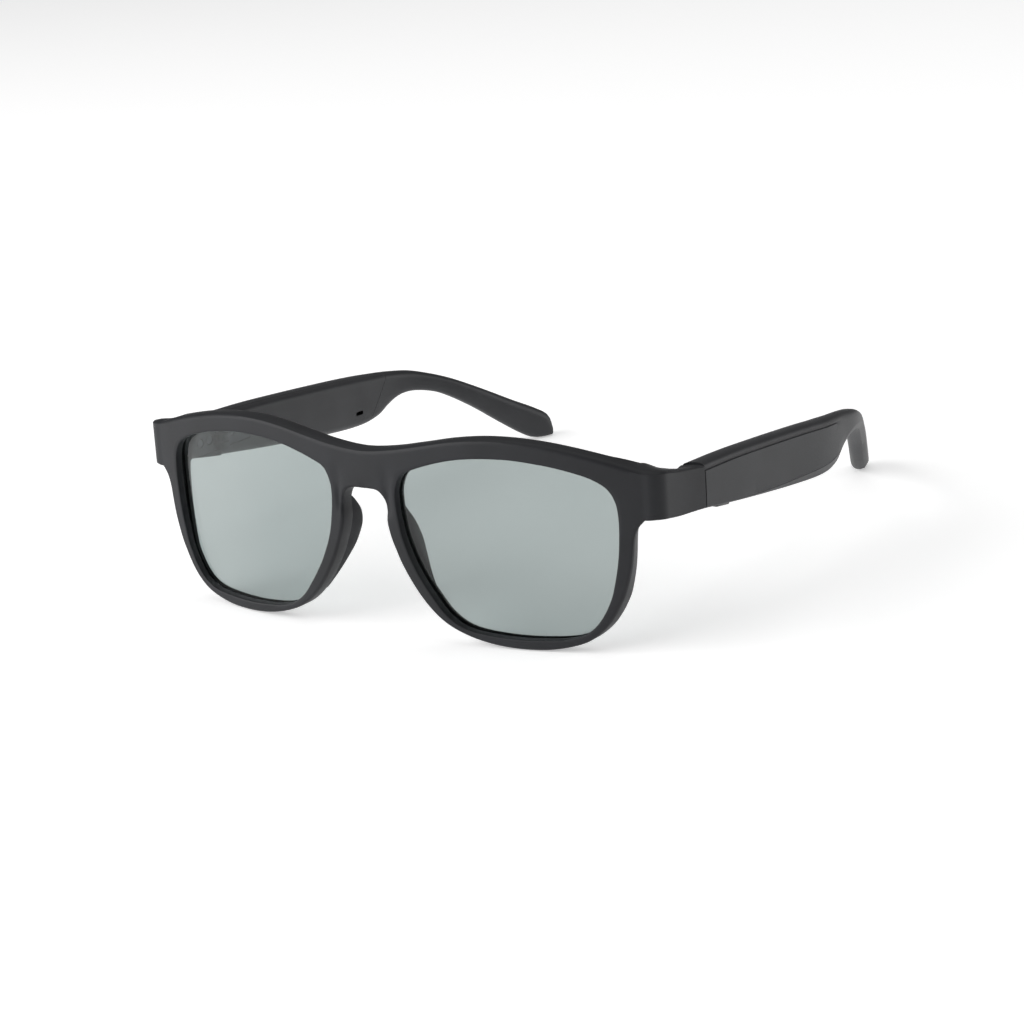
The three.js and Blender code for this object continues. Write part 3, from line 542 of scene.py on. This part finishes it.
def front_rings():
    """Section rings of half the front, and for each station its mark."""
    pairs = paired_stations()
    count = len(pairs)
    rings, marks = [], []
    for i, (inner, outer, mark) in enumerate(pairs):
        before, after = pairs[i - 1], pairs[(i + 1) % count]
        along = (after[0] - before[0]).normalized()
        into = Vector((-along.y, along.x))
        if into.dot(outer - inner) < 0:
            into = -into
        if mark:
            out = Vector((0, 0))
            reach = depth = back = 0.0
        else:
            line = BROW if outer.y > 12 else LOWER
            k = nearest(line, outer)
            tangent = (line[min(len(line) - 1, k + 1)] - line[max(0, k - 1)]).normalized()
            out = Vector((-tangent.y, tangent.x))
            brow = ease(3, 16, outer.y)
            reach, depth, back = mix(0.6, 0.8, brow), mix(0.8, 1.5, brow), mix(0.6, 0.5, brow)
        edge = 0.35
        section = []
        for turn in (0, 45, 90):
            a = math.radians(turn)
            section.append((inner + into * edge * (1 - math.cos(a)), edge * (1 - math.sin(a))))
        start, end = inner + into * edge, outer - out * reach
        for k in range(1, FRONT_FACE_ROWS):
            section.append((start.lerp(end, k / FRONT_FACE_ROWS), 0.0))
        for k in range(ARC):
            a = math.radians(90 * k / (ARC - 1))
            section.append((outer - out * reach * (1 - math.sin(a)), depth * (1 - math.cos(a))))
        section.append((outer, mix(depth, FRONT_DEPTH - back, 0.5)))
        for k in range(ARC):
            a = math.radians(90 * k / (ARC - 1))
            section.append((outer - out * back * (1 - math.cos(a)),
                            FRONT_DEPTH - back * (1 - math.sin(a))))
        rear_start, rear_end = outer - out * back, inner + into * edge
        for k in range(1, 5):
            section.append((rear_start.lerp(rear_end, k / 5), FRONT_DEPTH))
        for turn in (90, 45, 0):
            a = math.radians(turn)
            section.append((inner + into * edge * (1 - math.cos(a)),
                            FRONT_DEPTH - edge * (1 - math.sin(a))))
        groove = into * (LENS_BITE + 0.12)
        rear, front = LENS_RECESS + LENS_THICKNESS + 0.05, LENS_RECESS - 0.05
        section += [(inner, rear), (inner + groove, rear), (inner + groove, front), (inner, front)]
        rings.append([(p, depth_mm / FRONT_DEPTH) for p, depth_mm in section])
        marks.append(mark)
    return rings, marks


FRONT_END_ROW = 3 + FRONT_FACE_ROWS - 1        # last row of the front face
REAR_START_ROW = FRONT_END_ROW + 2 * ARC       # first row of the rear face
EAR_TOP = spline([(0, EAR_TOP_Z), (13, 15.3), (20, 13.9), (FRONT_SEAM_Y, 12.2)])
EAR_BOTTOM = spline([(0, EAR_LOW_Z), (12, 4.4), (20, 3.2), (FRONT_SEAM_Y, 2.1)])


def build_front():
    """Half the moulding as one ring lofted round the lens, opened at the bridge and at the ear;
    the ear is drawn back to the hinge, and the other half is a mirror."""
    rings, marks = front_rings()
    solid = [[front_point(p.x, p.y, share) for p, share in ring] for ring in rings]
    half = loft("front_frame_moulding", solid + solid[:1], closed=True, clean=False)
    count = len(rings)
    edit(half)
    mesh = bmesh.from_edit_mesh(half.data)
    row, station = mesh.verts.layers.int["row"], mesh.verts.layers.int["station"]
    for vert in mesh.verts:
        vert[station] %= count
    spans = {}
    for mark in (BRIDGE, EAR):
        marked = [i for i, m in enumerate(marks) if m == mark]
        spans[mark] = set(range(marked[0] - 1, marked[-1] + 2))
    outer_rows = range(FRONT_END_ROW, REAR_START_ROW + 1)
    doomed = [face for face in mesh.faces if any(
        all(v[station] in span and v[row] in outer_rows for v in face.verts)
        for span in spans.values())]
    bmesh.ops.delete(mesh, geom=doomed, context="FACES")
    bmesh.update_edit_mesh(half.data)
    bpy.ops.mesh.select_all(action="SELECT")
    bpy.ops.mesh.remove_doubles(threshold=0.004)

    # The end piece: the open edge of the ear is extruded round the corner and back to the seam.
    mesh = bmesh.from_edit_mesh(half.data)
    row, station = mesh.verts.layers.int["row"], mesh.verts.layers.int["station"]
    bpy.ops.mesh.select_mode(type="EDGE")
    bpy.ops.mesh.select_all(action="DESELECT")
    for edge in mesh.edges:
        if edge.is_boundary and all(v[station] in spans[EAR] for v in edge.verts):
            edge.select_set(True)
    bmesh.update_edit_mesh(half.data)
    root = {}
    for vert in mesh.verts:
        if vert.select:
            where, share = rings[vert[station]][vert[row]]
            root[(vert[station], vert[row])] = (where.x, where.y, share)
    steps, last_blend, drop = 30, 4, 1.8
    for step in range(1, steps + 1):
        bpy.ops.mesh.extrude_region_move()
        mesh = bmesh.from_edit_mesh(half.data)
        row, station = mesh.verts.layers.int["row"], mesh.verts.layers.int["station"]
        for vert in mesh.verts:
            if not vert.select:
                continue
            u0, z0, share = root[(vert[station], vert[row])]
            u = mix(u0, seam_u, step / steps)
            y = outside_point(u).y
            top, bottom = height_on(EAR_TOP, y), height_on(EAR_BOTTOM, y)
            first_top, first_bottom = EAR_TOP[0][1], EAR_BOTTOM[0][1]
            z = mix(bottom, top, (z0 - first_bottom) / (first_top - first_bottom))
            z = mix(z0, z, ease(0, last_blend, step))
            slope = drop * ease(0, 9, step) * (1 - 0.6 * ease(22, steps, step))
            z -= slope * share * ease(HINGE_Z + 1, top, z)
            place = front_point(u, z, share)
            if step == steps:
                place.y = FRONT_SEAM_Y + parting_bow(place.z)
            vert.co = place
        bmesh.update_edit_mesh(half.data)
    bpy.ops.mesh.edge_face_add()
    bpy.ops.object.mode_set(mode="OBJECT")
    tidy(half)
    apply(half, "MIRROR", use_mirror_merge=True, merge_threshold=0.02)
    tidy(half)
    return half


def parting_bow(z):
    """How far the parting line bows back at mid height."""
    return 0.25 * max(0.0, 1 - ((z - HINGE_Z) / 5.2) ** 2) - 0.1


front = build_front()
for side in (1, -1):
    x0, x1 = sorted((side * (INNER_X - 3), side * (INNER_X + LEAF_POCKET)))
    carve(front,
          box(x0, x1, FRONT_LEAF_START_Y, 32, LEAF_LOW_Z - LEAF_ROOM, LEAF_HIGH_Z + LEAF_ROOM),
          rod((side * HINGE_X, HINGE_Y, HINGE_Z), BARREL_ROOM, BARREL_LENGTH), solver="FAST")
finish(front, "front_moulding", "front", frame_nylon, "frame_nylon", "front_frame")


def build_lens(name):
    """A curved disc of even thickness whose edge sits in the groove of the rim."""
    centre = Vector((35, -3))
    line = stretch(OPENING, 0, len(OPENING) - 1, 160)[:-1]
    edge = []
    for i, p in enumerate(line):
        along = (line[(i + 1) % len(line)] - line[i - 1]).normalized()
        out = Vector((-along.y, along.x))
        out = out if out.dot(p - centre) > 0 else -out
        edge.append(p + out * LENS_BITE)
    rings = []
    shares = (0.03, 0.2, 0.4, 0.6, 0.8, 0.93, 1.0)
    for depth, order in ((LENS_RECESS, shares), (LENS_RECESS + LENS_THICKNESS, shares[::-1])):
        for share in order:
            flat = [centre.lerp(p, share) for p in edge]
            rings.append([(p.x, wrap_y(p.x) + depth, p.y) for p in flat])
    return loft(name, rings)


left_lens = build_lens("left_tinted_lens")
right_lens = mirror_copy(left_lens, "right_tinted_lens")
for side, lens in (("left", left_lens), ("right", right_lens)):
    finish(lens, f"{side}_tinted_lens", "front", lens_tint, "tinted_lens", f"{side}_lens")


PAD_CREST = 4.9


def build_nose_pad(name):
    """A soft pad behind the nasal side of the rim, tallest above its middle, rounded over."""
    start, end = nearest(LOWER, (15.7, -18.2)), nearest(LOWER, (6.0, 4.6))
    line = stretch(LOWER, start, end, 40)
    rings = []
    for i, p in enumerate(line):
        along = (line[min(40, i + 1)] - line[max(0, i - 1)]).normalized()
        inward = -Vector((-along.y, along.x))
        if inward.x < 0 and i < 30:
            inward = -inward
        share = i / 40
        swell = math.sin(math.pi * share ** 1.6) ** 0.8
        tall = 0.25 + PAD_CREST * swell
        thick = 1.9 + 0.5 * swell
        low = -1.2
        section = [
            (0.06, low), (0.03, 0.15 * tall), (0.06, 0.45 * tall), (0.16, 0.7 * tall),
            (0.38, 0.88 * tall), (0.75, 0.98 * tall), (1.15, tall), (thick - 0.5, 0.93 * tall),
            (thick - 0.2, 0.76 * tall), (thick - 0.06, 0.5 * tall), (thick, 0.2 * tall),
            (thick, low)]
        base = wrap_y(p.x) + FRONT_DEPTH
        rings.append([(p.x + inward.x * a, base + b, p.y + inward.y * a) for a, b in section])
    return loft(name, rings)


left_pad = build_nose_pad("left_soft_nose_pad")
right_pad = mirror_copy(left_pad, "right_soft_nose_pad")
for side, pad in (("left", left_pad), ("right", right_pad)):
    finish(pad, f"{side}_soft_nose_pad", "front", pad_rubber, "soft_pad", f"{side}_nose_pad",
           angle=50)


# ------------------------------------------------------------- the temples

# The temple from the side: pairs of points on its top and its underside, y and z of each. The
# crown falls gently to the bend and then sweeps down to the square end of the hook.
PROFILE = [
    (31.1, 12.4, 31.1, 2.1), (45.0, 11.7, 45.0, 0.0), (59.5, 10.55, 59.5, -2.0),
    (72.0, 9.45, 72.0, -3.6), (82.0, 8.5, 81.7, -4.65), (88.0, 7.85, 87.6, -5.0),
    (92.5, 7.4, 92.4, -4.9), (96.5, 6.95, 97.0, -4.1), (100.4, 6.5, 100.5, -2.5),
    (105.5, 5.7, 104.7, -1.0), (111.0, 4.6, 109.2, -0.6), (116.6, 2.75, 113.9, -1.3),
    (122.3, 0.4, 119.1, -3.1), (131.0, -4.2, 127.6, -8.4), (140.0, -9.4, 136.2, -15.0),
    (146.6, -13.1, 141.9, -19.2), (149.7, -15.4, 145.0, -20.9), (150.6, -18.2, 147.9, -21.25),
    (150.7, -20.1, 149.9, -21.2)]
# Middle of its thickness from above: straight to the bend, then curling inwards.
MIDDLE = spline([
    (31.1, 67.2), (60, 67.2), (76, 67.2), (88, 67.2), (99.63, 66.4), (110.64, 64.6),
    (128.4, 57.4), (150.2, 47.3)])
BODY_HALF, HOOK_HALF = 3.0, 2.35


def crown_section(y, height, half, tip):
    """The temple's section as (outwards, upwards) from the middle of its underside."""
    facet = mix(0.4, 2.1, ease(46, 94, y))
    tuck = mix(0.3, 0.8, ease(46, 94, y))
    low_line = 0.1 * ease(44, 56, y) * (1 - ease(96, 103, y))
    brim = 1.3
    high_line = 0.32 * (1 - ease(92, 101, y))
    drop = 0.85
    body = [
        (half - tuck - 0.3, 0), (half - tuck, 0.1), (half - 0.1, facet - 0.15),
        (half - 0.03, facet - 0.04), (half - low_line, facet + 0.05),
        (half - low_line, facet + 0.22), (half, facet + 0.32),
        (half, mix(facet, height - brim, 0.35)), (half, mix(facet, height - brim, 0.7)),
        (half, height - brim - 0.55), (half - high_line, height - brim - 0.38),
        (half - high_line, height - brim - 0.08), (half - 0.1, height - brim + 0.05),
        (half - 0.2, height - 0.85), (half - 0.45, height - 0.45), (half - 0.9, height - 0.17),
        (half - 1.6, height - 0.03), (half - 2.6, height), (-half + 2.3, height - 0.1 * drop),
        (-half + 1.4, height - 0.35 * drop), (-half + 0.7, height - 0.7 * drop),
        (-half + 0.25, height - 1.2 * drop), (-half + 0.03, height - 2.0 * drop),
        (-half, height * 0.62), (-half, height * 0.38), (-half + 0.03, 1.7), (-half + 0.25, 1.0),
        (-half + 0.7, 0.45), (-half + 1.4, 0.1), (-half + 2.4, 0), (0.3, 0)]
    round_off = ease(90, 108, y)
    section = []
    for out, up in body:
        across, rise = out / half, (up - height / 2) / (height / 2)
        power = mix(3.2, 2.4, ease(120, 149, y))
        size = (abs(across) ** power + abs(rise) ** power) ** (1 / power)
        soft = (out / size, height / 2 + (up - height / 2) / size)
        section.append((mix(out, soft[0], round_off) * tip,
                        height / 2 + (mix(up, soft[1], round_off) - height / 2)))
    return section


def middle_at(y):
    """Middle of the temple's thickness at y, and the direction across it."""
    x = height_on(MIDDLE, y)
    slope = (height_on(MIDDLE, y + 1.0) - height_on(MIDDLE, y - 1.0)) / 2.0
    if y > 149:
        slope = (height_on(MIDDLE, 149) - height_on(MIDDLE, 147)) / 2.0
        x = height_on(MIDDLE, 149) + slope * (y - 149)
    if y < 32:
        slope = 0.0
    return x, Vector((1.0, -slope)).normalized()


def temple_body():
    """The whole left temple as one solid, from the seam to the end of the hook."""
    line = spline(PROFILE, 8)
    tops = stretch(line, 0, len(line) - 1, 96)
    rings = []
    for n, (top_y, top_z, low_y, low_z) in enumerate(tops):
        height = math.hypot(top_y - low_y, top_z - low_z)
        half = mix(BODY_HALF, HOOK_HALF, ease(88, 103, top_y))
        tip = 1 - 0.3 * ease(0.98, 1.0, n / 96) ** 2
        ring = []
        for out, up in crown_section(top_y, height, half, tip):
            share = up / height
            y, z = mix(low_y, top_y, share), mix(low_z, top_z, share)
            x, aside = middle_at(y)
            if n == 0:
                y = TEMPLE_SEAM_Y + parting_bow(z)
            ring.append((x + aside.x * out, y + aside.y * out, z))
        rings.append(ring)
    return loft("temple_body", rings)


TOP_LINE = [Vector((r[0], r[1])) for r in PROFILE[:9]]
BOTTOM_LINE = [Vector((r[2], r[3])) for r in PROFILE[:9]]


def mid_z(y):
    """Height of the temple's centre line."""
    return (height_on(TOP_LINE, y) + height_on(BOTTOM_LINE, y)) / 2


COVER_DEPTH, COVER_REAR_DEPTH = 1.8, 1.2
COVER_TOP_END, COVER_LOW_END = 101.4, 91.1       # where its slanted rear end meets the outline


def cover_cutter(extra):
    """Room for the inner cover: it follows the temple and thins towards its slanted rear end."""
    rings = []
    for y in (20, 31, 50, 70, 82, 88, 92, 96, 99, COVER_TOP_END, 104):
        x = middle_at(max(y, 32))[0]
        depth = mix(COVER_DEPTH, COVER_REAR_DEPTH, ease(84, 100, y)) + extra
        inner, outer = x - BODY_HALF - 3, x - BODY_HALF + depth
        rings.append([(inner, y, -12), (outer, y, -12), (outer, y, 18), (inner, y, 18)])
    cutter = loft("cover_cutter", rings)
    top_end, low_end = COVER_TOP_END + extra, COVER_LOW_END + extra
    slant = prism_x([(top_end, 30), (top_end, 7.8), (low_end, -4.9), (low_end - 2.1, -30),
                     (130, -30), (130, 30)], 50, 80)
    return carve(cutter, slant)


def room(y0, y1, x0, x1, wall):
    """The hollow of the temple between two stations, a wall's thickness inside its outline."""
    outline = [(y0, height_on(BOTTOM_LINE, y0) + wall), (y1, height_on(BOTTOM_LINE, y1) + wall),
               (y1, height_on(TOP_LINE, y1) - wall), (y0, height_on(TOP_LINE, y0) - wall)]
    return prism_x(outline, x0, x1)


def hinge_room():
    """Pocket of the temple's hinge leaf, and the room in which the barrel turns."""
    return [box(INNER_X - 3, INNER_X + LEAF_POCKET, 30, TEMPLE_LEAF_END_Y,
                LEAF_LOW_Z - LEAF_ROOM, LEAF_HIGH_Z + LEAF_ROOM),
            rod((HINGE_X, HINGE_Y, HINGE_Z), BARREL_ROOM, BARREL_LENGTH)]


def screw_holes(*ys):
    return [rod((INNER_X + 2, y, HINGE_Z), 0.8, 4.2, "X", sides=24) for y in ys]


TEMPLE_SCREWS = (35.16, 39.48)
CONTACTS = (47.6, 50.4)
MICROPHONE_X, MICROPHONE_Y = 68.1, 48.2
SLOT_Y, SLOT_Z, SLOT_LENGTH, SLOT_WIDTH = 87.0, -1.2, 3.0, 1.0

body = temple_body()
inner_cover = copy_of(body, "inner_cover")
carve(inner_cover, cover_cutter(0), operation="INTERSECT")
carve(inner_cover, *hinge_room())
carve(inner_cover, room(56.2, 90, INNER_X + 1.0, SPLIT_X + 1, 1.7))
slot_tool = box(INNER_X - 2, SPLIT_X + 1, SLOT_Y - SLOT_LENGTH / 2, SLOT_Y + SLOT_LENGTH / 2,
                SLOT_Z - SLOT_WIDTH / 2, SLOT_Z + SLOT_WIDTH / 2)
apply(slot_tool, "BEVEL", width=0.45, segments=4, limit_method="ANGLE")
carve(inner_cover, slot_tool)

housing = body
carve(housing, cover_cutter(SEAM))
carve(housing, *hinge_room(), *screw_holes(*TEMPLE_SCREWS))
carve(housing, room(45, 90.5, SPLIT_X - 0.2, OUTER_X - 1.2, 1.5))
carve(housing, rod((MICROPHONE_X, MICROPHONE_Y, 0.0), 0.45, 6, sides=24))

right_housing = mirror_copy(housing, "right_temple_shell")
right_cover = mirror_copy(inner_cover, "right_inner_shell")

BUTTON_X, BUTTON_Y = 67.6, 41.0
button_slope = math.atan2(height_on(BOTTOM_LINE, 45) - height_on(BOTTOM_LINE, 37), 8)
button_z = height_on(BOTTOM_LINE, BUTTON_Y)


def button_block(half_length, half_width, low, high, bevel=0.0):
    """A block lying on the slope of the temple's underside, at the button."""
    block = box(-half_width, half_width, -half_length, half_length, low, high, bevel)
    turn = Matrix.Translation((BUTTON_X, BUTTON_Y, button_z)) @ Matrix.Rotation(button_slope, 4, "X")
    block.data.transform(turn)
    return block


carve(housing, button_block(3.1, 1.35, -3, 3.4))
carve(inner_cover, *(rod((INNER_X + 1, y, mid_z(y)), 0.95, 6, "X", sides=32) for y in CONTACTS))
button = button_block(2.9, 1.15, -0.75, 1.6, bevel=0.45)

for side, shell, cover in (("left", housing, inner_cover), ("right", right_housing, right_cover)):
    finish(shell, f"{side}_temple_shell", f"{side}_temple", temple_nylon, "temple_nylon",
           f"{side}_temple_housing")
    finish(cover, f"{side}_inner_shell", f"{side}_temple", temple_nylon, "temple_nylon",
           f"{side}_temple_inner_cover")
finish(button, "left_action_key", "action_button", button_nylon, "button_nylon",
       "left_action_button")


# ------------------------------------------------------------- camera, floor and light

def add_camera():
    """A long lens a little above the table, seeing the wearer's left side from the front."""
    azimuth, elevation, roll = (math.radians(a) for a in (34.0, 15.956, -3.863))
    distance, lens_mm = 622.2 * MM, 101.82
    target = Vector((39.81, 0, 6.79)) * MM
    back = Vector((math.sin(azimuth) * math.cos(elevation),
                   -math.cos(azimuth) * math.cos(elevation),
                   math.sin(elevation)))
    level = Vector((math.cos(azimuth), math.sin(azimuth), 0))
    up = back.cross(level)
    right = math.cos(roll) * level + math.sin(roll) * up
    up = math.cos(roll) * up - math.sin(roll) * level
    place = target + back * distance
    turn = Matrix((right, up, back)).transposed().to_4x4()
    data = bpy.data.cameras.new("camera")
    data.lens = lens_mm
    data.sensor_width = 36
    data.clip_start = 0.01
    camera = bpy.data.objects.new("camera", data)
    bpy.context.scene.collection.objects.link(camera)
    camera.matrix_world = WEARING @ Matrix.Translation(place) @ turn
    bpy.context.scene.camera = camera


def add_floor():
    """White paper on a faintly lit table."""
    bpy.ops.mesh.primitive_plane_add(size=6)
    floor = bpy.context.object
    floor.name = "studio_floor"
    paper = bpy.data.materials.new("white_paper")
    paper.use_nodes = True
    shader = paper.node_tree.nodes["Principled BSDF"]
    shader.inputs["Base Color"].default_value = colour("FAFAFA")
    shader.inputs["Roughness"].default_value = 0.9
    shader.inputs["Emission Color"].default_value = (1, 1, 1, 1)
    shader.inputs["Emission Strength"].default_value = 0.4
    floor.data.materials.append(paper)


def add_lights():
    """A low even room light and three softboxes; the corner between two of them stays dark."""
    bpy.context.scene.view_settings.view_transform = "Standard"
    world = bpy.data.worlds.new("studio")
    bpy.context.scene.world = world
    world.use_nodes = True
    tree = world.node_tree
    background = tree.nodes["Background"]
    background.inputs["Color"].default_value = (1, 1, 1, 1)
    # The wall behind the table looks pale, and lights the glasses less than it looks.
    path = add_node(tree, "ShaderNodeLightPath")
    seen = add_node(tree, "ShaderNodeMath", operation="MAXIMUM")
    tree.links.new(path.outputs["Is Camera Ray"], seen.inputs[0])
    tree.links.new(path.outputs["Is Transmission Ray"], seen.inputs[1])
    strength = add_node(tree, "ShaderNodeMapRange", [("Value", seen.outputs["Value"])],
                        **{"To Min": 0.18, "To Max": 0.88})
    tree.links.new(strength.outputs["Result"], background.inputs["Strength"])
    for name, place, size, watts in (
            ("overhead_softbox", (-0.1, 0.3, 1.5), 1.8, 7),
            ("front_softbox", (-0.8, -0.9, 0.5), 1.3, 19),
            ("side_softbox", (1.0, 0.95, 0.45), 0.7, 4.5)):
        data = bpy.data.lights.new(name, "AREA")
        data.size = size
        data.energy = watts
        light = bpy.data.objects.new(name, data)
        bpy.context.scene.collection.objects.link(light)
        light.location = place
        aim = Vector((0, 0, 0.02)) - light.location
        light.rotation_euler = aim.to_track_quat("-Z", "Y").to_euler()


add_camera()
add_floor()
add_lights()
